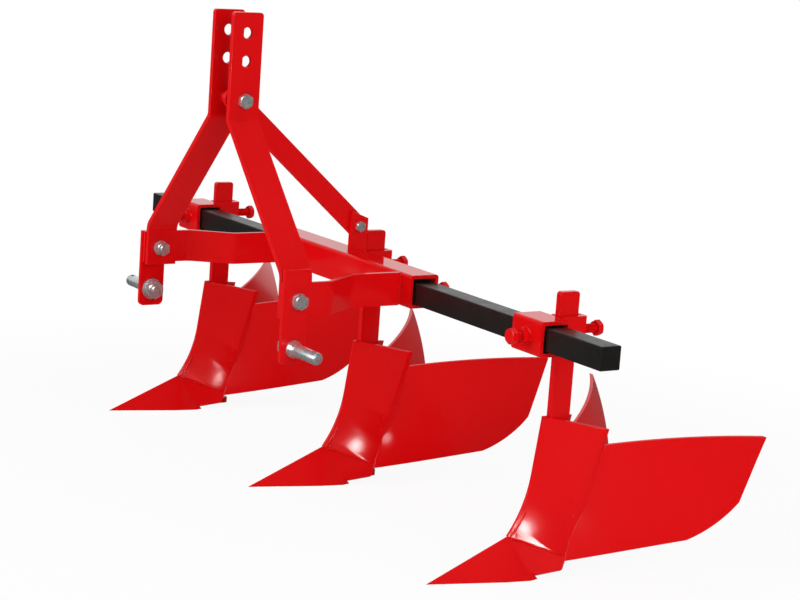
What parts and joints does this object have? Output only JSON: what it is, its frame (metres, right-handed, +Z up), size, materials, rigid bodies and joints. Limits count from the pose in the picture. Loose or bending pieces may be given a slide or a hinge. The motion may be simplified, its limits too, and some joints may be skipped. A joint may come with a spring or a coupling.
{
  "type": "three-row ridger",
  "caption": "Tractor-mounted ridger: square toolbar with a three-point hitch frame and ridging bodies on adjustable shanks, each with a share, breast and curved wings.",
  "frame": {"origin": "on the floor below the middle of the toolbar, with the points of the shares on the floor", "axes": "+X to the left side of the machine, along the toolbar; -Y forwards, the way it is drawn; +Z up"},
  "size_m": [1.6766, 0.6127, 0.8805],
  "materials": {
    "red_paint": "gloss",
    "black_paint": "satin",
    "zinc_steel": "zinc plated"
  },
  "bodies": {
    "frame": {"brace_bolts": "zinc_steel", "brace_lug": "red_paint", "centre_sleeve": "red_paint", "centre_socket": "red_paint", "hitch_arm_left": "red_paint", "hitch_arm_right": "red_paint", "hitch_plate_left": "red_paint", "hitch_plate_right": "red_paint", "lower_pin_nuts": "zinc_steel", "lower_pins": "zinc_steel", "mast_bar_left": "red_paint", "mast_bar_right": "red_paint", "mast_brace": "red_paint", "mast_foot_bolts": "zinc_steel", "mast_spacers": "red_paint", "shank_screw_centre": "red_paint", "sleeve_screws": "red_paint", "toolbar": "black_paint"},
    "clamp_left": {"clamp_sleeve_left": "red_paint", "clamp_screw_left": "red_paint", "clamp_socket_left": "red_paint", "shank_screw_left": "red_paint"},
    "clamp_right": {"clamp_sleeve_right": "red_paint", "clamp_screw_right": "red_paint", "clamp_socket_right": "red_paint", "shank_screw_right": "red_paint"},
    "ridger_left": {"left_shank": "red_paint", "left_breast": "red_paint", "left_share": "red_paint", "left_frog": "red_paint", "left_heel": "red_paint", "left_wing_stay": "red_paint", "left_wing_left": "red_paint", "left_wing_right": "red_paint"},
    "ridger_centre": {"centre_shank": "red_paint", "centre_breast": "red_paint", "centre_share": "red_paint", "centre_frog": "red_paint", "centre_heel": "red_paint", "centre_wing_stay": "red_paint", "centre_wing_left": "red_paint", "centre_wing_right": "red_paint"},
    "ridger_right": {"right_shank": "red_paint", "right_breast": "red_paint", "right_share": "red_paint", "right_frog": "red_paint", "right_heel": "red_paint", "right_wing_stay": "red_paint", "right_wing_left": "red_paint", "right_wing_right": "red_paint"}
  },
  "joints": [
    {"name": "left_row_spacing", "type": "slide", "parent": "frame", "child": "clamp_left", "axis": [1, 0, 0], "range_m": [-0.11, 0.14]},
    {"name": "right_row_spacing", "type": "slide", "parent": "frame", "child": "clamp_right", "axis": [-1, 0, 0], "range_m": [-0.11, 0.14]},
    {"name": "left_depth", "type": "slide", "parent": "clamp_left", "child": "ridger_left", "axis": [0, 0, 1], "range_m": [-0.035, 0.1]},
    {"name": "centre_depth", "type": "slide", "parent": "frame", "child": "ridger_centre", "axis": [0, 0, 1], "range_m": [-0.035, 0.1]},
    {"name": "right_depth", "type": "slide", "parent": "clamp_right", "child": "ridger_right", "axis": [0, 0, 1], "range_m": [-0.035, 0.1]}
  ]
}
